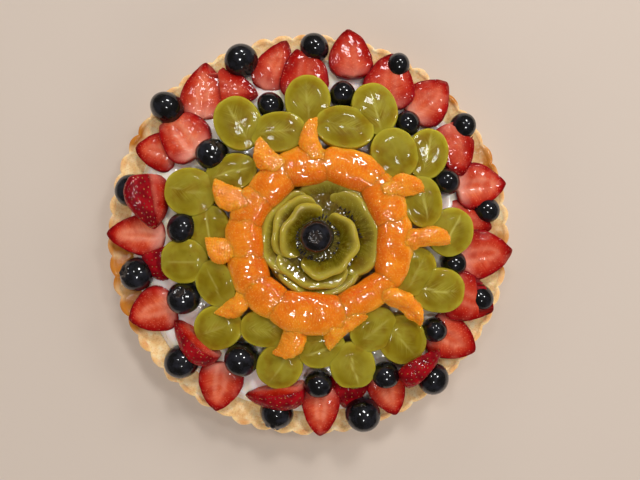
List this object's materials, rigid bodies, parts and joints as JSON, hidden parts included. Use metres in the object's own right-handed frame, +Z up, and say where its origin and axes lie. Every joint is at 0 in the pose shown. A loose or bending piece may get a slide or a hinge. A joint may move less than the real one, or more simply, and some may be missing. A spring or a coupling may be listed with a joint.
{
  "type": "fruit tart",
  "caption": "Round fruit tart: a fluted pastry case filled with cream, under rings of cut strawberries, blueberries, grapes and mandarin segments round a kiwi rose",
  "frame": {"origin": "centre of the underside of the pastry case, on the surface that it rests on", "axes": "+Z up out of the tart along its axis; +X towards the right and +Y towards the back of the arrangement of fruit"},
  "size_m": [0.2298, 0.23, 0.0566],
  "materials": {
    "pastry": "dry, crumbly baked pastry, matt",
    "cream": "set cream with a soft sheen",
    "blueberry": "dark skin under clear glaze",
    "strawberry": "moist cut flesh and seeded skin under clear glaze",
    "grape": "translucent cut flesh under clear glaze",
    "mandarin": "translucent juicy flesh under clear glaze",
    "kiwi": "translucent seeded flesh under clear glaze"
  },
  "bodies": {
    "root": {"pastry_case": "pastry", "cream": "cream", "blueberry_outer_01": "blueberry", "blueberry_outer_02": "blueberry", "blueberry_outer_03": "blueberry", "blueberry_outer_04": "blueberry", "blueberry_outer_05": "blueberry", "blueberry_outer_06": "blueberry", "blueberry_outer_07": "blueberry", "blueberry_outer_08": "blueberry", "blueberry_outer_09": "blueberry", "blueberry_outer_10": "blueberry", "blueberry_outer_11": "blueberry", "blueberry_outer_12": "blueberry", "blueberry_outer_13": "blueberry", "blueberry_inner_01": "blueberry", "blueberry_inner_02": "blueberry", "blueberry_inner_03": "blueberry", "blueberry_inner_04": "blueberry", "blueberry_inner_05": "blueberry", "blueberry_inner_06": "blueberry", "blueberry_inner_07": "blueberry", "blueberry_inner_08": "blueberry", "blueberry_inner_09": "blueberry", "blueberry_inner_10": "blueberry", "blueberry_inner_11": "blueberry", "blueberry_inner_12": "blueberry", "blueberry_centre": "blueberry", "strawberry_01": "strawberry", "strawberry_02": "strawberry", "strawberry_03": "strawberry", "strawberry_04": "strawberry", "strawberry_05": "strawberry", "strawberry_06": "strawberry", "strawberry_07": "strawberry", "strawberry_08": "strawberry", "strawberry_09": "strawberry", "strawberry_10": "strawberry", "strawberry_11": "strawberry", "strawberry_12": "strawberry", "strawberry_13": "strawberry", "strawberry_14": "strawberry", "strawberry_15": "strawberry", "strawberry_16": "strawberry", "strawberry_17": "strawberry", "strawberry_18": "strawberry", "strawberry_19": "strawberry", "strawberry_20": "strawberry", "strawberry_21": "strawberry", "strawberry_22": "strawberry", "strawberry_23": "strawberry", "strawberry_24": "strawberry", "strawberry_25": "strawberry", "strawberry_26": "strawberry", "grapes_1": "grape", "grapes_2": "grape", "grapes_3": "grape", "grapes_4": "grape", "kiwi_rose": "kiwi", "mandarins": "mandarin"}
  },
  "joints": []
}
